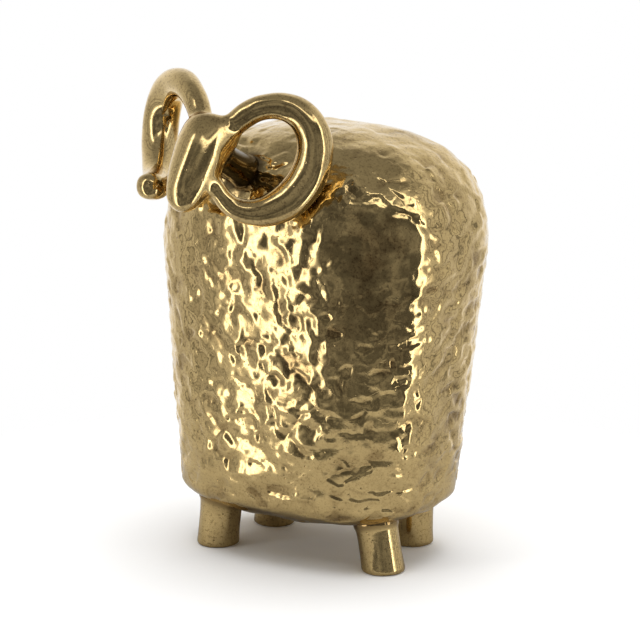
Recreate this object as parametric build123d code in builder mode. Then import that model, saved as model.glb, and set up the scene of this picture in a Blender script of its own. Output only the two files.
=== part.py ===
from build123d import *
import os
from math import copysign, cos, pi, radians, sin, tan, tau
from typing import NamedTuple

# A hand-built ceramic ram ornament, glazed all over in mirror gold.
# Millimetres, +Z up. The ram faces -Y and its own left is +X. The origin is on the ground,
# under the middle of the ornament's box, and the feet stand on the plane z = 0.
# The body is a hollow shell; the head, horns and legs are solid pieces luted on to it.

# Body: a tall soft block with a domed back, narrower at the belly than at the shoulder
BODY_WIDTH = 131.5
BODY_DEPTH = 96.0
BODY_SQUARENESS = 2.8
BELLY_SHARE = 0.864
BELLY_HEIGHT = 15.5
BELLY_ROUNDING = 13.0
SHOULDER_HEIGHT = 125.5
BACK_HEIGHT = 177.2
BACK_SQUARENESS = 2.6
BODY_LEAN = 1.9
BODY_WALL = 5.0
VENT_DIAMETER = 4.0

# Place of the body's axis at the belly, so that the origin is under the middle of the box
BODY_X = -tan(radians(BODY_LEAN)) * (SHOULDER_HEIGHT - BELLY_HEIGHT)
BODY_Y = 18.6

# Legs: stubby pegs with flat soles, which widen upwards into the belly
FOOT_DIAMETER = 18.0
SHANK_DIAMETER = 17.2
HIP_DIAMETER = 21.0
FOOT_ROUNDING = 1.3
LEG_SINK = 14.0


class Leg(NamedTuple):
    """One foot's place as shares of the body's half width and half depth, and the leg's lean in degrees."""

    across: float
    along: float
    lean_x: float
    lean_y: float


LEGS = {
    "leg_front_left": Leg(across=0.645, along=-0.338, lean_x=-13.4, lean_y=3.7),
    "leg_front_right": Leg(across=-0.543, along=-0.446, lean_x=4.1, lean_y=4.1),
    "leg_rear_left": Leg(across=0.486, along=0.485, lean_x=0.0, lean_y=0.0),
    "leg_rear_right": Leg(across=-0.495, along=0.336, lean_x=10.9, lean_y=-9.2),
}

# Head: an egg hung from the poll, the point between the horn roots, and narrower at the muzzle
POLL_SIDE = -8.7
POLL_AHEAD = 10.0
POLL_ABOVE = 5.7
HEAD_SIDE = -1.2
HEAD_AHEAD = 1.9
HEAD_PITCH = 52.0
HEAD_LENGTH = 41.0
HEAD_WIDTH = 20.5
HEAD_DEPTH = 20.0
HEAD_SQUARENESS = 2.5
HEAD_TAPER = 0.28
CROWN_LENGTH = 3.5

# Neck: from the middle of the head down and back into the body
NECK_PITCH = 26.0
NECK_START = 13.0
NECK_LENGTH = 34.0
NECK_WIDTH = 14.0
NECK_WAIST = 13.0
NECK_SEAT_WIDTH = 15.0

# Horns: tapering coils, thickest past the middle of the curl, with rounded tips
HORN_SPREAD = 7.0
HORN_ROOT_DEPTH = 9.0
HORN_ROOT_GIRTH = 9.5
HORN_FULL_GIRTH = 15.0
HORN_FULL_AT = 0.6


class Curl(NamedTuple):
    """One horn's coil: its half reach and rise, lean, turn, run forward and tip."""

    reach: float
    rise: float
    flare: float
    tilt: float
    start: float
    sweep: float
    advance: float
    advance_power: float
    tip_girth: float


LEFT_CURL = Curl(
    reach=17.6,
    rise=21.7,
    flare=60.6,
    tilt=-36.5,
    start=176.5,
    sweep=-295.5,
    advance=11.0,
    advance_power=1.5,
    tip_girth=7.2,
)
RIGHT_CURL = Curl(
    reach=24.8,
    rise=19.2,
    flare=53.5,
    tilt=13.5,
    start=142.5,
    sweep=-270.5,
    advance=18.3,
    advance_power=3.8,
    tip_girth=11.4,
)

# How finely the curved forms are laid out
PLAN_POINTS = 24
BELLY_ANGLES = (72.0, 58.0, 44.0, 28.0, 12.0, 0.0)
BACK_ANGLES = (0.0, 14.0, 28.0, 42.0, 56.0, 69.0, 80.0)
HEAD_ANGLES = (20.0, 42.0, 66.0, 90.0, 114.0, 138.0, 160.0)
HORN_STATIONS = 15
HORN_TIP_ANGLES = (0.0, 25.0, 48.0, 68.0)

# Places and directions that several pieces share
BELLY_RIM = BELLY_HEIGHT + BELLY_ROUNDING
HEAD_AXIS = Vector(0, -cos(radians(HEAD_PITCH)), -sin(radians(HEAD_PITCH)))
HEAD_FACE = Vector(0, -sin(radians(HEAD_PITCH)), cos(radians(HEAD_PITCH)))
NECK_AXIS = Vector(0, cos(radians(NECK_PITCH)), -sin(radians(NECK_PITCH)))
POLL = Vector(BODY_X + POLL_SIDE, BODY_Y - BODY_DEPTH / 2 - POLL_AHEAD, BACK_HEIGHT + POLL_ABOVE)
CROWN = POLL + Vector(HEAD_SIDE, -HEAD_AHEAD, 0) - HEAD_AXIS * CROWN_LENGTH


def plan_points(half_width, half_depth):
    """Points round a superellipse, which is the soft block seen from above."""
    power = 2 / BODY_SQUARENESS
    points = []
    for step in range(PLAN_POINTS):
        angle = tau * step / PLAN_POINTS
        across = copysign(abs(cos(angle)) ** power, cos(angle))
        along = copysign(abs(sin(angle)) ** power, sin(angle))
        points.append((half_width * across, half_depth * along))
    return points


def body_zones(wall):
    """Height and share of the full plan at each level of the belly, the side and the back."""
    belly = BELLY_HEIGHT + wall
    back = BACK_HEIGHT - wall
    power = 2 / BACK_SQUARENESS
    belly_levels = []
    for angle in BELLY_ANGLES:
        drop = sin(radians(angle)) / sin(radians(BELLY_ANGLES[0]))
        height = BELLY_RIM - (BELLY_RIM - belly) * drop
        belly_levels.append((height, BELLY_SHARE * cos(radians(angle))))
    back_levels = []
    for angle in BACK_ANGLES:
        climb = (sin(radians(angle)) / sin(radians(BACK_ANGLES[-1]))) ** power
        height = SHOULDER_HEIGHT + (back - SHOULDER_HEIGHT) * climb
        back_levels.append((height, cos(radians(angle)) ** power))
    side_levels = [belly_levels[-1], back_levels[0]]
    return belly_levels, side_levels, back_levels


def body_form(wall):
    """The block's outside, or with a wall taken off, the hollow inside it."""
    half_width = BODY_WIDTH / 2 - wall
    half_depth = BODY_DEPTH / 2 - wall
    with BuildPart() as form:
        for zone in body_zones(wall):
            for height, share in zone:
                lean = tan(radians(BODY_LEAN)) * (height - BELLY_HEIGHT)
                with BuildSketch(Plane((BODY_X + lean, BODY_Y, height))):
                    with BuildLine():
                        Spline(*plan_points(share * half_width, share * half_depth), periodic=True)
                    make_face()
            loft()
    return form.part


def leg_piece(leg):
    """A peg that stands flat on the ground and ends against the belly."""
    foot_x = BODY_X + leg.across * BODY_WIDTH / 2
    foot_y = BODY_Y + leg.along * BODY_DEPTH / 2
    top = BELLY_HEIGHT + LEG_SINK
    sections = ((0.0, FOOT_DIAMETER), (BELLY_HEIGHT / 2, SHANK_DIAMETER), (top, HIP_DIAMETER))
    with BuildPart() as peg:
        for height, diameter in sections:
            x = foot_x + height * tan(radians(leg.lean_x))
            y = foot_y + height * tan(radians(leg.lean_y))
            with BuildSketch(Plane((x, y, height))):
                Circle(diameter / 2)
        loft()
        sole = peg.faces().sort_by(Axis.Z)[0]
        fillet(sole.edges(), FOOT_ROUNDING)
        add(body_block, mode=Mode.SUBTRACT)
    return peg.part


def curl_axes(curl, side):
    """Directions across and along the coil's own plane, and forward out of it."""
    flare = radians(curl.flare)
    tilt = radians(curl.tilt)
    outward = Vector(side * sin(flare), cos(flare), 0)
    upward = Vector(0, 0, 1)
    across = outward * cos(tilt) + upward * sin(tilt)
    along = upward * cos(tilt) - outward * sin(tilt)
    forward = Vector(side * cos(flare), -sin(flare), 0)
    return across, along, forward


def curl_point(curl, side, turn):
    """A point on the horn's middle line, from 0 at the root to 1 at the tip."""
    across, along, forward = curl_axes(curl, side)
    start = radians(curl.start)
    angle = start + radians(curl.sweep) * turn
    root = POLL + Vector(side * HORN_SPREAD, 0, 0)
    sideways = across * (curl.reach * (cos(angle) - cos(start)))
    upwards = along * (curl.rise * (sin(angle) - sin(start)))
    return root + sideways + upwards + forward * (curl.advance * turn**curl.advance_power)


def horn_girth(curl, turn):
    """The horn swells smoothly from its root to its full girth and thins to its tip."""
    if turn < HORN_FULL_AT:
        swell = (1 - cos(pi * turn / HORN_FULL_AT)) / 2
        return HORN_ROOT_GIRTH + (HORN_FULL_GIRTH - HORN_ROOT_GIRTH) * swell
    thin = (1 - cos(pi * (turn - HORN_FULL_AT) / (1 - HORN_FULL_AT))) / 2
    return HORN_FULL_GIRTH + (curl.tip_girth - HORN_FULL_GIRTH) * thin


def horn_piece(curl, side):
    """A coil of round sections that grows out of the head and ends in a rounded tip."""
    forward = curl_axes(curl, side)[2]
    turns = [station / (HORN_STATIONS - 1) for station in range(HORN_STATIONS)]
    points = [CROWN + HEAD_AXIS * HORN_ROOT_DEPTH] + [curl_point(curl, side, turn) for turn in turns]
    girths = [HORN_ROOT_GIRTH] + [horn_girth(curl, turn) for turn in turns]
    with BuildPart() as horn:
        for number, (point, girth) in enumerate(zip(points, girths)):
            before = points[max(number - 1, 0)]
            after = points[min(number + 1, len(points) - 1)]
            heading = (after - before).normalized()
            square_on = forward - heading * forward.dot(heading)
            with BuildSketch(Plane(point, x_dir=square_on, z_dir=heading)):
                Circle(girth / 2)
        loft()
        for angle in HORN_TIP_ANGLES:
            tip = points[-1] + heading * (curl.tip_girth / 2 * sin(radians(angle)))
            with BuildSketch(Plane(tip, x_dir=square_on, z_dir=heading)):
                Circle(curl.tip_girth / 2 * cos(radians(angle)))
        loft()
        add(head.part, mode=Mode.SUBTRACT)
        add(body_block, mode=Mode.SUBTRACT)
    return horn.part


def save(part, name):
    """Label a finished piece and write it to its own file."""
    part.label = name
    export_step(part, f"parts/{name}.step")


os.makedirs("parts", exist_ok=True)
body_block = body_form(0)
body_hollow = body_form(BODY_WALL)

# Body shell with a small kiln vent through the belly
with BuildPart() as body_shell:
    add(body_block)
    add(body_hollow, mode=Mode.SUBTRACT)
    with BuildSketch(Plane((BODY_X, BODY_Y, 0))):
        Circle(VENT_DIAMETER / 2)
    extrude(amount=BELLY_RIM + BODY_WALL, mode=Mode.SUBTRACT)
save(body_shell.part, "body_shell")

# Head with its neck, which ends against the body
with BuildPart() as head:
    power = 2 / HEAD_SQUARENESS
    for angle in HEAD_ANGLES:
        half_way = copysign(abs(cos(radians(angle)) / cos(radians(HEAD_ANGLES[0]))) ** power, 90 - angle)
        length = HEAD_LENGTH / 2 * (1 - half_way)
        girth = sin(radians(angle)) ** power * (1 + HEAD_TAPER * cos(radians(angle)))
        with BuildSketch(Plane(CROWN + HEAD_AXIS * length, x_dir=HEAD_FACE, z_dir=HEAD_AXIS)):
            Ellipse(HEAD_DEPTH / 2 * girth, HEAD_WIDTH / 2 * girth)
    loft()
    neck_start = CROWN + HEAD_AXIS * NECK_START
    neck_sections = ((0.0, NECK_WIDTH), (NECK_LENGTH / 2, NECK_WAIST), (NECK_LENGTH, NECK_SEAT_WIDTH))
    for length, width in neck_sections:
        with BuildSketch(Plane(neck_start + NECK_AXIS * length, x_dir=(1, 0, 0), z_dir=NECK_AXIS)):
            Circle(width / 2)
    loft()
    add(body_block, mode=Mode.SUBTRACT)
save(head.part, "head")

# Horns and legs
save(horn_piece(LEFT_CURL, 1), "horn_left")
save(horn_piece(RIGHT_CURL, -1), "horn_right")
for name, leg in LEGS.items():
    save(leg_piece(leg), name)
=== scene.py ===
from itertools import product
from math import cos, radians, sin

import bmesh
import bpy
import numpy as np
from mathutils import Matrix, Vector
from mathutils.bvhtree import BVHTree


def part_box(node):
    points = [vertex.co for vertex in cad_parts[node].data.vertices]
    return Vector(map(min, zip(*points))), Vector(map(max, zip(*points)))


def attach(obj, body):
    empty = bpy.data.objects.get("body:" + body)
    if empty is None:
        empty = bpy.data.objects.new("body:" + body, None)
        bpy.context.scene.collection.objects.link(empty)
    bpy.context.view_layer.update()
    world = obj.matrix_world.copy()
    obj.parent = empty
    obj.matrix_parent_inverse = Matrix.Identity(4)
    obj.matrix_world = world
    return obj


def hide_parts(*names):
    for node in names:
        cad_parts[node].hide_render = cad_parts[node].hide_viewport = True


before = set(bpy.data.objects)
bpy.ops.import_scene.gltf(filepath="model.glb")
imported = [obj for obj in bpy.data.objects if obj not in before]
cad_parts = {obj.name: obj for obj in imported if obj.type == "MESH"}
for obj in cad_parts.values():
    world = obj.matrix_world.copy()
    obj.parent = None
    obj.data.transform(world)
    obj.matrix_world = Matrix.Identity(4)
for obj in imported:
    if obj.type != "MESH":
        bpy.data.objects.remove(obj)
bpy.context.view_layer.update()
MM = 0.001

# Camera, at the photograph's viewing angle
VIEW_AZIMUTH = radians(33.0)
VIEW_ELEVATION = radians(13.0)
VIEW_DISTANCE = 1.2
VIEW_TARGET = Vector((-3.9, 20.8, 95.0)) * MM
LENS = 164.6

# Body mesh: its axis, the spacing of its grid, and the core that the grid is cast towards
BODY_AXIS = Vector((-3.6, 18.6, 0.0)) * MM
BODY_SPACING = 0.75 * MM
CORE_INSET = 34.0 * MM
CAST_REACH = 60.0 * MM
VENT_DEPTH = 3.0 * MM
BODY_ROUNDS = 60

# Hammered fleece: size of a dent across and up, and how far dents tilt and sink
DENT_SIZE = np.array((8.5, 8.5, 5.4)) * MM
DENT_TILT = 0.8 * MM
CHEST_SIZE = np.array((6.4, 6.4, 7.2)) * MM
CHEST_TILT = 0.8 * MM
DENT_LEVEL = 0.14 * MM
DENT_SHARPNESS = 9.0
CHEST_SHARPNESS = 6.5
SCAR_SIZE = np.array((3.6, 3.6, 2.8)) * MM
SCAR_TILT = 0.16 * MM
DIMPLE_SIZE = np.array((6.5, 6.5, 4.2)) * MM
DIMPLE_DEPTH = 0.36 * MM
RIPPLE_SIZE = np.array((15.0, 15.0, 9.0)) * MM
RIPPLE_HEIGHT = 0.6 * MM
CALM_SIZE = np.array((11.0, 11.0, 8.0)) * MM
CALM_HEIGHT = 0.17 * MM
CALM_TURN = radians(40.0)
LUMP_SIZE = 30.0 * MM
LUMP_HEIGHT = 0.5 * MM

# Smooth pieces: voxel of the remesh, lumps left by the fingers, and the joints between pieces
SMOOTH_VOXEL = 0.55 * MM
SMOOTH_ROUNDS = 14
TIGHT_BEND = (0.022 * MM, 0.047 * MM)
FINGER_SIZE = 11.0 * MM
FINGER_HEIGHT = 0.2 * MM
JOINT_REACH = 0.5 * MM
JOINT_SINK = 2.0 * MM
FLARE_REACH = 3.5 * MM
FLARE_HEIGHT = 0.9 * MM
SEAM_REACH = 5.0 * MM

# Crown of the head, which swells where the horns grow out of it and melts into their roots
POLL = np.array((-12.3, -39.4, 182.9)) * MM
CROWN_SIZE = 20.0 * MM
SWELL_REACH = 9.0 * MM
SWELL_HEIGHT = 3.0 * MM
BLEND_REACH = 8.0 * MM
BLEND_ROUNDS = 60
PARTING_ROUNDS = 30

# Neck: a point in the head on its axis, and the way the axis runs back to the body
NECK_START = np.array((-13.5, -47.1, 175.4)) * MM
NECK_AXIS = np.array((0.0, 0.899, -0.438))

# Colours: gold, a brown for tarnish and for painted shade where pieces meet, and a dark brown painted as
# shade on the neck and on the body beside the head and near horn
GOLD = (0.80, 0.59, 0.265, 1.0)
TARNISH_AND_SHADE = (0.24, 0.15, 0.06, 1.0)
PAINTED_SHADE_COLOUR = (0.12, 0.088, 0.042, 1.0)

# Relief of the glaze in millimetres: grain, the edges of its runs, and pinholes
SPECK_HEIGHT = 0.012
RUN_HEIGHT = 0.03
PIT_DEPTH = 0.06

# Studio: brightness of its parts, seen from the ornament
LEFT_ROOM = 0.4
RIGHT_ROOM = 0.6
CEILING = 0.26
DARK_ROOM = 0.1
DIM_ROOM = 0.27
BACKDROP = 1.0
SHEET = 0.58
LEFT_GLOW = 1.7
LEFT_PANEL = 3.0
RIGHT_PANEL = 3.2
FRONT_PANEL = 2.0
EDGE_TURNS = (-106.0, -93.0, -82.0, 84.0, 97.0, 111.0)
LEFT_TURN = -64.5

# Floor and lamp in metres: where the floor fades for the camera and in the gold
FLOOR_RADIUS = 0.26
FLOOR_CORNERS = 64
FLOOR_FADE = (0.17, 0.23)
MIRROR_FADE = (0.13, 0.21)
LAMP_SIZE = 1.6
LAMP_HEIGHT = 1.6
LAMP_POWER = 22.0


# Numbers for noise
def hashed(cells, seed):
    """A whole number from 0 to 4095 for each lattice cell, the same on each run."""
    mixed = cells[..., 0] * 73856093 ^ cells[..., 1] * 19349663
    mixed = mixed ^ cells[..., 2] * 83492791 ^ seed * 2654435761
    mixed = (mixed ^ (mixed >> 13)) * 1274126177
    return (mixed ^ (mixed >> 16)) & 4095


def gradient_noise(points, seed):
    """Smooth noise between about -1 and 1, with one lump to each unit cell."""
    directions = np.random.default_rng(seed).normal(size=(4096, 3))
    directions /= np.linalg.norm(directions, axis=1)[:, None]
    low = np.floor(points).astype(np.int64)
    inside = points - low
    ease = inside**3 * (inside * (inside * 6 - 15) + 10)
    total = np.zeros(len(points))
    for corner in product((0, 1), repeat=3):
        corner = np.array(corner)
        slope = directions[hashed(low + corner, seed)]
        weight = np.prod(np.where(corner, ease, 1 - ease), axis=1)
        total += weight * np.einsum("ij,ij->i", slope, inside - corner)
    return total * 1.6


def facet_noise(points, seed, sharpness):
    """Tilt and level of hammered facets: neighbouring cells meet in soft ridges."""
    table = np.random.default_rng(seed).uniform(-1, 1, size=(4096, 7))
    low = np.floor(points).astype(np.int64)
    weights = np.zeros(len(points))
    tilts = np.zeros(len(points))
    levels = np.zeros(len(points))
    for offset in product((-1, 0, 1), repeat=3):
        cell = low + np.array(offset)
        values = table[hashed(cell, seed)]
        away = points - (cell + 0.5 + 0.42 * values[:, :3])
        weight = np.exp(-sharpness * np.einsum("ij,ij->i", away, away))
        weights += weight
        tilts += weight * np.einsum("ij,ij->i", values[:, 3:6], away)
        levels += weight * values[:, 6]
    return tilts / weights, levels / weights


# Mesh helpers
def coordinates(mesh):
    flat = np.empty(len(mesh.vertices) * 3, np.float32)
    mesh.vertices.foreach_get("co", flat)
    return flat.reshape(-1, 3).astype(float)


def set_coordinates(mesh, coords):
    mesh.vertices.foreach_set("co", coords.astype(np.float32).ravel())
    mesh.update()


def normals(mesh):
    flat = np.empty(len(mesh.vertices) * 3, np.float32)
    mesh.vertex_normals.foreach_get("vector", flat)
    return flat.reshape(-1, 3).astype(float)


def edge_pairs(mesh):
    flat = np.empty(len(mesh.edges) * 2, np.int32)
    mesh.edges.foreach_get("vertices", flat)
    return flat.reshape(-1, 2)


def means(coords, edges):
    """The mean of each point's neighbours."""
    first, second = edges[:, 0], edges[:, 1]
    count = len(coords)
    degree = np.bincount(first, minlength=count) + np.bincount(second, minlength=count)
    total = np.empty_like(coords)
    for axis in range(coords.shape[1]):
        total[:, axis] = np.bincount(first, coords[second, axis], count)
        total[:, axis] += np.bincount(second, coords[first, axis], count)
    return total / degree[:, None]


def relaxed(coords, edges, rounds):
    """Smooth out facets without shrinking the form."""
    for _ in range(rounds):
        for step in (0.5, -0.52):
            coords = coords + step * (means(coords, edges) - coords)
    return coords


def sharpness(coords, edges):
    """One round a tight edge of a smooth piece, falling to nothing where it bends gently."""
    bend = np.linalg.norm(means(coords, edges) - coords, axis=1)
    share = ramp(bend, *TIGHT_BEND)[:, None]
    for _ in range(10):
        share = np.maximum(share, np.minimum(1.4 * means(share, edges), 1))
    for _ in range(10):
        share = means(share, edges)
    return share[:, 0]


def softened(coords, edges, share, rounds):
    """Melt the form where the share is one, and keep it where the share is nothing."""
    for _ in range(rounds):
        coords = coords + 0.5 * share[:, None] * (means(coords, edges) - coords)
    return coords


def bvh_of(node):
    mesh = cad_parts[node].data
    return BVHTree.FromPolygons([v.co for v in mesh.vertices], [p.vertices for p in mesh.polygons])


def set_smooth(mesh):
    mesh.polygons.foreach_set("use_smooth", np.ones(len(mesh.polygons), bool))


def set_values(mesh, name, values):
    """Keep one number for each point, for the tarnish and the painted shade. Points added later get nothing.
    """
    kept = np.zeros(len(mesh.vertices), np.float32)
    kept[:len(values)] = values
    mesh.attributes.new(name, "FLOAT", "POINT").data.foreach_set("value", kept)


def distances(coords, tree, reach):
    """How far each point lies from another piece, up to a reach."""
    found = np.full(len(coords), reach)
    for number, point in enumerate(coords):
        away = tree.find_nearest(Vector(point), reach)[3]
        if away is not None:
            found[number] = away
    return found


def joint_shade(coords, neighbours):
    """One where a point touches another piece, falling to nothing over a few millimetres."""
    near = np.full(len(coords), SEAM_REACH)
    for neighbour in neighbours:
        near = np.minimum(near, distances(coords, bvh_of(neighbour), SEAM_REACH))
    return 1 - near / SEAM_REACH


def new_piece(name, mesh, node, material):
    piece = bpy.data.objects.new(name, mesh)
    bpy.context.scene.collection.objects.link(piece)
    mesh.materials.clear()
    mesh.materials.append(material)
    set_smooth(mesh)
    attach(piece, "root")
    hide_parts(node)


# Body
def box_grid(counts):
    """Whole-number points on the skin of a box of that many cells, and the skin's quads."""
    corners = []
    for axis in range(3):
        across, along = (axis + 1) % 3, (axis + 2) % 3
        u, v = np.meshgrid(np.arange(counts[across]), np.arange(counts[along]), indexing="ij")
        for end in (0, counts[axis]):
            steps = ((0, 0), (1, 0), (1, 1), (0, 1)) if end else ((0, 0), (0, 1), (1, 1), (1, 0))
            quad = np.empty((u.size, 4, 3), np.int64)
            for number, (du, dv) in enumerate(steps):
                quad[:, number, axis] = end
                quad[:, number, across] = (u + du).ravel()
                quad[:, number, along] = (v + dv).ravel()
            corners.append(quad)
    quads = np.concatenate(corners)
    points, index = np.unique(quads.reshape(-1, 3), axis=0, return_inverse=True)
    return points, index.reshape(-1, 4)


def body_grid():
    """An even grid of quads cast on to the outside of the CAD body."""
    low, high = (np.array(corner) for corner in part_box("body_shell"))
    counts = np.round((high - low) / BODY_SPACING).astype(int)
    points, quads = box_grid(counts)
    skin = low + points / counts * (high - low)
    core = np.clip(skin, low + CORE_INSET, high - CORE_INSET)
    outward = skin - core
    outward /= np.linalg.norm(outward, axis=1)[:, None]
    tree = bvh_of("body_shell")
    coords = np.empty_like(skin)
    for number, (start, way) in enumerate(zip(core + outward * CAST_REACH, -outward)):
        hit = tree.ray_cast(Vector(start), Vector(way), CAST_REACH)[0]
        coords[number] = hit if hit else skin[number] + way * VENT_DEPTH
    mesh = bpy.data.meshes.new("body")
    mesh.from_pydata(coords.tolist(), [], quads.tolist())
    mesh.update()
    return mesh


def ramp(values, low, high):
    return np.clip((values - low) / (high - low), 0, 1)


def calm_face(coords, outward):
    """One on the smooth left shoulder, where the dents all but stop."""
    facing = outward @ np.array((sin(CALM_TURN), -cos(CALM_TURN), 0))
    wander = 0.03 * gradient_noise(coords / (9 * MM), 6)
    height = coords[:, 2] / MM
    return ramp(facing + wander, 0.87, 0.94) * ramp(height, 82, 122) * ramp(height, 164, 152)


def make_body(material):
    mesh = body_grid()
    coords = relaxed(coordinates(mesh), edge_pairs(mesh), BODY_ROUNDS)
    set_coordinates(mesh, coords)
    outward = normals(mesh)
    height = coords[:, 2] / MM
    calm = calm_face(coords, outward)
    chest = ramp(-outward[:, 1], 0.8, 0.95)
    middle = ramp(height, 24, 56) * ramp(height, 174, 150)
    patchy = 1 + 0.35 * gradient_noise(coords / (26 * MM), 5)
    seat = NECK_START + NECK_AXIS * 30 * MM
    under_horn = np.exp(-np.sum((coords - seat) ** 2, axis=1) / (26 * MM) ** 2)
    shoulder = np.exp(-(((height - 161) / 9) ** 2))
    strength = (0.5 + 0.5 * middle + 0.7 * under_horn + 0.45 * shoulder) * (1 - 0.85 * calm) * patchy

    bend = 0.35 * np.stack([gradient_noise(coords / (14 * MM), seed) for seed in (21, 22, 23)], axis=1)
    tilt, level = facet_noise(coords / DENT_SIZE + bend, 11, DENT_SHARPNESS)
    chest_tilt, chest_level = facet_noise(coords / CHEST_SIZE + bend, 14, CHEST_SHARPNESS)
    scar, _ = facet_noise(coords / SCAR_SIZE + bend, 12, DENT_SHARPNESS)
    _, chosen = facet_noise(coords / DIMPLE_SIZE + bend, 15, DENT_SHARPNESS)
    dents = (1 - chest) * (DENT_TILT * tilt + DENT_LEVEL * level)
    dents += chest * (CHEST_TILT * chest_tilt + DENT_LEVEL * chest_level)
    dents = strength * (dents + SCAR_TILT * scar)
    dents -= DIMPLE_DEPTH * ramp(chosen, 0.3, 0.6) * ramp(height, 134, 112) * (1 - 0.3 * calm)
    ripple = RIPPLE_HEIGHT * gradient_noise(coords / RIPPLE_SIZE, 4)
    ripple *= np.maximum(ramp(height, 66, 40), ramp(height, 150, 165))
    lump = LUMP_HEIGHT * gradient_noise(coords / LUMP_SIZE, 3)
    lump += CALM_HEIGHT * calm * gradient_noise(coords / CALM_SIZE, 7)
    # Painted shade: the body is darkened brown where the head, the near horn and the front legs meet it
    set_values(mesh, "joint_shade", joint_shade(coords, ["head", "horn_left", "leg_front_left", "leg_front_right"]))
    set_coordinates(mesh, coords + outward * (dents + ripple + lump)[:, None])
    set_values(mesh, "hollow", np.clip(0.5 - dents / (0.8 * MM), 0, 1))
    set_values(mesh, "grain", (1 - 0.9 * calm) * (1 - 0.5 * chest))
    set_values(mesh, "calm", calm)
    # Painted shade: the body is darkened beside the head and the near horn, where they shade it
    set_values(mesh, "painted_shade", 0.75 * joint_shade(coords, ["head", "horn_left"]))
    new_piece("body", mesh, "body_shell", material)


# Smooth pieces
def remeshed(mesh):
    """An even mesh of the same form."""
    source = bpy.data.objects.new("source", mesh.copy())
    bpy.context.scene.collection.objects.link(source)
    modifier = source.modifiers.new("even", "REMESH")
    modifier.mode = "VOXEL"
    modifier.voxel_size = SMOOTH_VOXEL
    shown = source.evaluated_get(bpy.context.evaluated_depsgraph_get())
    even = bpy.data.meshes.new_from_object(shown)
    bpy.data.objects.remove(source)
    return even


def joined(node, host):
    """An even mesh of a CAD node that swells towards its host, and runs on into it where they touch."""
    mesh = remeshed(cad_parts[node].data)
    coords = coordinates(mesh)
    outward = normals(mesh)
    tree = bvh_of(host)
    for number, point in enumerate(coords):
        _, way, _, distance = tree.find_nearest(Vector(point))
        if distance < FLARE_REACH:
            coords[number] += outward[number] * FLARE_HEIGHT * (1 - distance / FLARE_REACH) ** 2
        if distance < JOINT_REACH:
            coords[number] -= np.array(way) * JOINT_SINK
    set_coordinates(mesh, coords)
    return mesh


def fingered(mesh, coords, seed):
    """Press shallow finger marks into a smooth piece, and keep how deep they are for the tarnish."""
    set_coordinates(mesh, coords)
    finger = gradient_noise(coords / FINGER_SIZE, seed)
    coords = coords + normals(mesh) * (FINGER_HEIGHT * finger)[:, None]
    coords[:, 2] = np.maximum(coords[:, 2], 0)
    set_coordinates(mesh, coords)
    return coords, np.clip(0.35 - 0.4 * finger, 0, 1)


def make_leg(node, material, seed):
    mesh = joined(node, "body_shell")
    coords = relaxed(coordinates(mesh), edge_pairs(mesh), SMOOTH_ROUNDS)
    coords, hollow = fingered(mesh, coords, seed)
    # Painted shade: the leg is darkened brown where it meets the body
    set_values(mesh, "joint_shade", joint_shade(coords, ["body_shell"]))
    set_values(mesh, "hollow", hollow)
    set_values(mesh, "grain", np.full(len(coords), 0.15))
    new_piece(node, mesh, node, material)


def swollen(mesh, horn):
    """Raise the crown of the head round the root of a horn."""
    coords = coordinates(mesh)
    outward = normals(mesh)
    near = 1 - distances(coords, bvh_of(horn), SWELL_REACH) / SWELL_REACH
    crown = np.exp(-np.sum((coords - POLL) ** 2, axis=1) / CROWN_SIZE**2)
    crown *= 1 - np.clip(outward[:, 2], 0, 1)
    set_coordinates(mesh, coords + outward * (SWELL_HEIGHT * near**2 * crown)[:, None])


def merged(meshes):
    """Several meshes as one."""
    coords, faces = [], []
    for mesh in meshes:
        faces += [[len(coords) + corner for corner in face.vertices] for face in mesh.polygons]
        coords += [point.co for point in mesh.vertices]
    whole = bpy.data.meshes.new("whole")
    whole.from_pydata(coords, [], faces)
    return whole


def closed(coords, quads, shading):
    """A mesh of some of a skin's quads, capped where it was cut and shaded as the whole skin is."""
    mesh = bpy.data.meshes.new("piece")
    mesh.from_pydata(coords.tolist(), [], quads.tolist())
    form = bmesh.new()
    form.from_mesh(mesh)
    caps = bmesh.ops.holes_fill(form, edges=[edge for edge in form.edges if edge.is_boundary])
    bmesh.ops.poke(form, faces=caps["faces"])
    form.to_mesh(mesh)
    form.free()
    set_smooth(mesh)
    added = [(0.0, 0.0, 1.0)] * (len(mesh.vertices) - len(coords))
    mesh.normals_split_custom_set_from_vertices(shading.tolist() + added)
    return mesh


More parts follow.
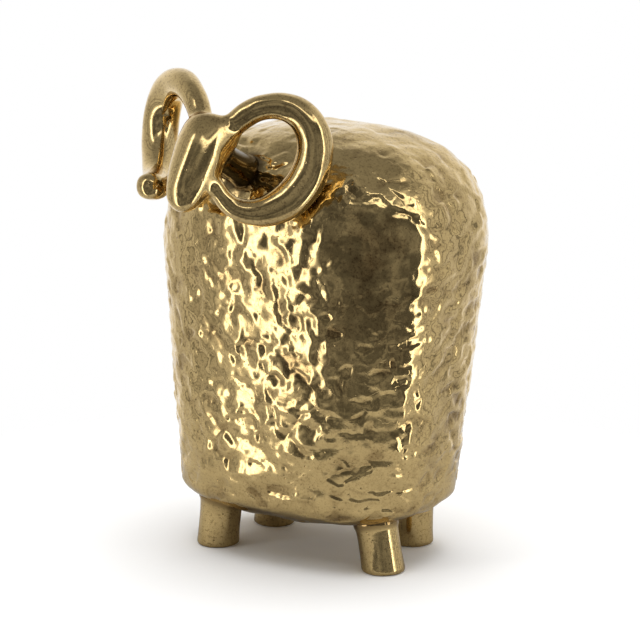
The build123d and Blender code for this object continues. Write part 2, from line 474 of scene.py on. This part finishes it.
def make_head(material):
    """The head and its horns, smoothed as one skin and then parted along their joints."""
    nodes = ["head", "horn_left", "horn_right"]
    parts = [joined("head", "body_shell"), joined("horn_left", "head"), joined("horn_right", "head")]
    for horn in nodes[1:]:
        swollen(parts[0], horn)
    whole = remeshed(merged(parts))
    edges = edge_pairs(whole)
    coords = relaxed(coordinates(whole), edges, SMOOTH_ROUNDS)
    away = np.stack([distances(coords, bvh_of(node), BLEND_REACH) for node in nodes])
    share = ramp(np.sort(away, axis=0)[1], BLEND_REACH, 0)
    share *= np.exp(-np.sum((coords - POLL) ** 2, axis=1) / CROWN_SIZE**2)
    share = np.maximum(share, sharpness(coords, edges))
    coords, hollow = fingered(whole, softened(coords, edges, share, BLEND_ROUNDS), 31)

    shading = normals(whole)
    corners = np.empty(len(whole.loops), np.int32)
    whole.loops.foreach_get("vertex_index", corners)
    quads = corners.reshape(-1, 4)
    nearness = away.T
    for _ in range(PARTING_ROUNDS):
        nearness = means(nearness, edges)
    owners = np.argmin(nearness[quads].sum(axis=1), axis=1)
    for number, node in enumerate(nodes):
        used, index = np.unique(quads[owners == number], return_inverse=True)
        mesh = closed(coords[used], index.reshape(-1, 4), shading[used])
        behind = (coords[used] - NECK_START) @ NECK_AXIS / MM
        # Painted shade: each piece is darkened brown where it meets the body
        set_values(mesh, "joint_shade", joint_shade(coords[used], ["body_shell"]))
        # Painted shade: the neck, behind the head along its axis, is darkened as if in shadow
        set_values(mesh, "painted_shade", ramp(behind, 6, 12) * (node == "head"))
        set_values(mesh, "hollow", hollow[used])
        set_values(mesh, "grain", np.full(len(used), 0.15))
        new_piece(node, mesh, node, material)


# Materials
class Graph:
    """Short ways to add nodes to one node tree."""

    def __init__(self, tree):
        self.tree = tree

    def node(self, kind, **settings):
        made = self.tree.nodes.new(kind)
        for key, value in settings.items():
            setattr(made, key, value)
        return made

    def put(self, socket, value):
        if isinstance(value, bpy.types.NodeSocket):
            self.tree.links.new(value, socket)
        else:
            socket.default_value = value

    def math(self, operation, *values):
        made = self.node("ShaderNodeMath", operation=operation)
        for socket, value in zip(made.inputs, values):
            self.put(socket, value)
        return made.outputs[0]

    def step(self, value, low, high, bottom=0.0, top=1.0):
        made = self.node("ShaderNodeMapRange", interpolation_type="SMOOTHSTEP")
        for socket, given in zip(made.inputs, (value, low, high, bottom, top)):
            self.put(socket, given)
        return made.outputs[0]

    def band(self, value, low, high, soft):
        rise = self.step(value, low - soft, low + soft)
        fall = self.step(value, high - soft, high + soft)
        return self.math("SUBTRACT", rise, fall)

    def mix(self, factor, first, second):
        made = self.node("ShaderNodeMix", data_type="FLOAT")
        for socket, value in zip(made.inputs[:1] + made.inputs[2:4], (factor, first, second)):
            self.put(socket, value)
        return made.outputs[0]

    def mix_colour(self, factor, first, second):
        made = self.node("ShaderNodeMix", data_type="RGBA")
        sockets = (made.inputs[0], made.inputs[6], made.inputs[7])
        for socket, value in zip(sockets, (factor, first, second)):
            self.put(socket, value)
        return made.outputs[2]

    def noise(self, vector, scale, detail=3.0, roughness=0.55):
        made = self.node("ShaderNodeTexNoise")
        self.put(made.inputs["Vector"], vector)
        self.put(made.inputs["Scale"], scale)
        self.put(made.inputs["Detail"], detail)
        self.put(made.inputs["Roughness"], roughness)
        return made.outputs["Fac"]


def gold_material(name, speckle, tarnish, roughness):
    """Mirror gold with fine grain, pinholes, run lines of the glaze, brown tarnish in the hollows, and
    painted shade where pieces meet and on the neck.
    """
    material = bpy.data.materials.new(name)
    material.use_nodes = True
    graph = Graph(material.node_tree)
    shader = material.node_tree.nodes["Principled BSDF"]
    place = graph.node("ShaderNodeTexCoord").outputs["Object"]
    hollow = graph.node("ShaderNodeAttribute", attribute_name="hollow").outputs["Fac"]
    joint_shade_near = graph.node("ShaderNodeAttribute", attribute_name="joint_shade").outputs["Fac"]
    grain = graph.node("ShaderNodeAttribute", attribute_name="grain").outputs["Fac"]
    # Painted shade on the neck and on the body beside the head and near horn
    painted_shade = graph.node("ShaderNodeAttribute", attribute_name="painted_shade").outputs["Fac"]
    calm = graph.node("ShaderNodeAttribute", attribute_name="calm").outputs["Fac"]

    cloud = graph.noise(place, 60.0, 4.0)
    patch = graph.noise(place, 38.0, 2.0)
    speck = graph.noise(place, 900.0, 3.0, 0.7)
    dust = graph.noise(place, 2400.0, 1.0)
    runs = graph.noise(place, 210.0, 1.5)
    run = graph.math("MULTIPLY", graph.step(runs, 0.54, 0.575), grain)
    line = graph.math("MULTIPLY", graph.band(runs, 0.535, 0.56, 0.006), grain)
    pits = graph.node("ShaderNodeTexVoronoi", feature="F1")
    graph.put(pits.inputs["Vector"], place)
    graph.put(pits.inputs["Scale"], 260.0)
    pit = graph.step(pits.outputs["Distance"], 0.05, 0.13, 1.0, 0.0)
    pit = graph.math("MULTIPLY", pit, graph.step(patch, 0.6, 0.5))

    stain = graph.math("MULTIPLY", graph.step(hollow, 0.5, 1.0), graph.step(cloud, 0.35, 0.65))
    stain = graph.math("MULTIPLY", stain, tarnish)
    stain = graph.math("ADD", stain, graph.step(cloud, 0.45, 0.75, 0.0, 0.5 * tarnish))
    stain = graph.math("ADD", stain, graph.step(speck, 0.5, 0.66, 0.0, speckle))
    stain = graph.math("ADD", stain, graph.step(dust, 0.45, 0.7, 0.0, 0.5 * speckle))
    haze = graph.math("MULTIPLY", graph.step(graph.noise(place, 75.0, 3.0), 0.42, 0.62), calm)
    stain = graph.math("ADD", stain, graph.math("MULTIPLY", haze, 0.55))
    # Painted shade and reflection: brown where pieces meet, in place of the shade and orange glow between
    # them
    stain = graph.math("MAXIMUM", stain, graph.step(joint_shade_near, 0.3, 0.95, 0.0, 0.9))
    stain = graph.math("MAXIMUM", stain, graph.math("MULTIPLY", pit, 0.8))
    stain = graph.math("MAXIMUM", stain, graph.math("MULTIPLY", line, 0.25))
    stain = graph.math("MINIMUM", stain, 1.0)
    # Painted shade: the neck and the body beside the head and near horn are mixed towards a dark brown
    colour = graph.mix_colour(painted_shade, graph.mix_colour(stain, GOLD, TARNISH_AND_SHADE), PAINTED_SHADE_COLOUR)
    graph.put(shader.inputs["Base Color"], colour)
    shader.inputs["Metallic"].default_value = 1.0
    rough = graph.step(cloud, 0.3, 0.7, roughness, roughness + 0.04)
    rough = graph.math("ADD", rough, graph.step(speck, 0.48, 0.75, 0.0, 0.1))
    graph.put(shader.inputs["Roughness"], rough)

    bump = graph.node("ShaderNodeBump")
    bump.inputs["Strength"].default_value = 1.0
    bump.inputs["Distance"].default_value = MM
    height = graph.math("MULTIPLY", speck, SPECK_HEIGHT)
    height = graph.math("MULTIPLY", height, graph.mix(grain, 0.35, 1.0))
    height = graph.math("ADD", height, graph.math("MULTIPLY", run, RUN_HEIGHT))
    height = graph.math("SUBTRACT", height, graph.math("MULTIPLY", pit, PIT_DEPTH))
    graph.put(bump.inputs["Height"], height)
    graph.put(shader.inputs["Normal"], bump.outputs["Normal"])
    return material


def floor_material():
    """Pale floor that ends softly, and that the camera sees as white outside the shadow."""
    material = bpy.data.materials.new("floor")
    material.use_nodes = True
    material.node_tree.nodes.clear()
    graph = Graph(material.node_tree)
    seen = graph.node("ShaderNodeLightPath").outputs["Is Camera Ray"]
    paper = graph.node("ShaderNodeBsdfDiffuse")
    graph.put(paper.inputs["Color"], graph.mix(seen, 0.5, 1.05))
    reach = graph.node("ShaderNodeVectorMath", operation="LENGTH")
    graph.put(reach.inputs[0], graph.node("ShaderNodeTexCoord").outputs["Object"])
    near = graph.mix(seen, MIRROR_FADE[0], FLOOR_FADE[0])
    far = graph.mix(seen, MIRROR_FADE[1], FLOOR_FADE[1])
    ended = graph.step(reach.outputs["Value"], near, far)
    surface = graph.node("ShaderNodeMixShader")
    graph.put(surface.inputs[0], ended)
    graph.put(surface.inputs[1], paper.outputs[0])
    graph.put(surface.inputs[2], graph.node("ShaderNodeBsdfTransparent").outputs[0])
    graph.put(graph.node("ShaderNodeOutputMaterial").inputs["Surface"], surface.outputs[0])
    return material


# Studio
def make_world():
    """A white backdrop with dark edges, bright panels beside the camera and a dark room behind it."""
    world = bpy.data.worlds.new("studio")
    bpy.context.scene.world = world
    world.use_nodes = True
    graph = Graph(world.node_tree)
    background = world.node_tree.nodes["Background"]
    way = graph.node("ShaderNodeTexCoord").outputs["Generated"]
    turn = graph.node("ShaderNodeMapping", vector_type="VECTOR")
    graph.put(turn.inputs["Vector"], way)
    turn.inputs["Rotation"].default_value = (0.0, 0.0, -VIEW_AZIMUTH)
    parts = graph.node("ShaderNodeSeparateXYZ")
    graph.put(parts.inputs[0], turn.outputs[0])
    x, y, z = parts.outputs
    side = graph.math("DEGREES", graph.math("ARCTAN2", x, graph.math("MULTIPLY", y, -1.0)))
    rise = graph.math("DEGREES", graph.math("ARCSINE", z))

    room = graph.step(side, -20.0, 20.0, LEFT_ROOM, RIGHT_ROOM)
    light = graph.step(rise, 40.0, 65.0, room, CEILING)
    behind = graph.math("MAXIMUM", graph.step(side, 111.5, 112.5), graph.step(side, -93.0, -94.0))
    behind = graph.math("MULTIPLY", behind, graph.step(rise, 55.0, 5.0))
    light = graph.mix(behind, light, graph.step(graph.math("ABSOLUTE", side), 118.0, 155.0, SHEET, BACKDROP))
    for turn in EDGE_TURNS:
        edge = graph.band(side, turn - 1.3, turn + 1.3, 0.5)
        light = graph.mix(graph.math("MULTIPLY", edge, 0.85), light, DARK_ROOM)
    away = graph.math("ABSOLUTE", graph.math("SUBTRACT", side, LEFT_TURN))
    below = graph.step(rise, 60.0, 50.0)
    light = graph.mix(graph.math("MULTIPLY", graph.math("POWER", 0.86, away), below), light, LEFT_GLOW)
    light = graph.mix(graph.math("MULTIPLY", graph.step(away, 8.0, 1.0), below), light, LEFT_PANEL)
    dark = graph.math("MULTIPLY", graph.step(side, -62.0, -50.0), graph.step(side, 63.0, 57.0))
    dark = graph.math("MULTIPLY", dark, graph.step(rise, 54.0, 46.0))
    light = graph.mix(dark, light, graph.step(graph.noise(way, 3.0), 0.4, 0.7, DARK_ROOM, DIM_ROOM))
    right = graph.math("MULTIPLY", graph.step(side, 58.5, 61.0), graph.step(side, 76.0, 61.0))
    right = graph.math("MULTIPLY", right, graph.step(rise, 50.0, 40.0))
    light = graph.mix(right, light, RIGHT_PANEL)
    height = graph.math("SUBTRACT", rise, graph.step(side, 30.0, -12.0, 0.0, 14.0))
    front = graph.math("MULTIPLY", graph.band(side, -12.0, 74.0, 8.0), graph.band(height, 35.5, 43.5, 2.5))
    light = graph.mix(front, light, FRONT_PANEL)
    seen = graph.node("ShaderNodeLightPath").outputs["Is Camera Ray"]
    graph.put(background.inputs["Color"], (1.0, 1.0, 1.0, 1.0))
    graph.put(background.inputs["Strength"], graph.mix(seen, light, 1.0))


def make_floor():
    mesh = bpy.data.meshes.new("floor")
    turns = [radians(360 * number / FLOOR_CORNERS) for number in range(FLOOR_CORNERS)]
    rim = [(FLOOR_RADIUS * cos(turn), FLOOR_RADIUS * sin(turn), 0) for turn in turns]
    mesh.from_pydata(rim, [], [list(range(FLOOR_CORNERS))])
    floor = bpy.data.objects.new("floor", mesh)
    floor.location = BODY_AXIS
    bpy.context.scene.collection.objects.link(floor)
    mesh.materials.append(floor_material())
    lamp = bpy.data.lights.new("overhead", "AREA")
    lamp.shape = "DISK"
    lamp.size = LAMP_SIZE
    lamp.energy = LAMP_POWER
    overhead = bpy.data.objects.new("overhead", lamp)
    overhead.location = (0.0, 0.0, LAMP_HEIGHT)
    overhead.visible_glossy = False
    bpy.context.scene.collection.objects.link(overhead)


def make_camera():
    level = cos(VIEW_ELEVATION)
    back = Vector((sin(VIEW_AZIMUTH) * level, -cos(VIEW_AZIMUTH) * level, sin(VIEW_ELEVATION)))
    data = bpy.data.cameras.new("camera")
    data.lens = LENS
    camera = bpy.data.objects.new("camera", data)
    camera.location = VIEW_TARGET + back * VIEW_DISTANCE
    camera.rotation_mode = "QUATERNION"
    camera.rotation_quaternion = (-back).to_track_quat("-Z", "Y")
    bpy.context.scene.collection.objects.link(camera)
    bpy.context.scene.camera = camera


fleece = gold_material("gold_fleece", 0.4, 0.5, 0.045)
smooth = gold_material("gold_smooth", 0.5, 0.7, 0.07)
make_body(fleece)
make_head(smooth)
for number, leg in enumerate(("front_left", "front_right", "rear_left", "rear_right")):
    make_leg(f"leg_{leg}", smooth, 41 + number)

make_world()
make_floor()
make_camera()
bpy.context.scene.view_settings.view_transform = "Standard"
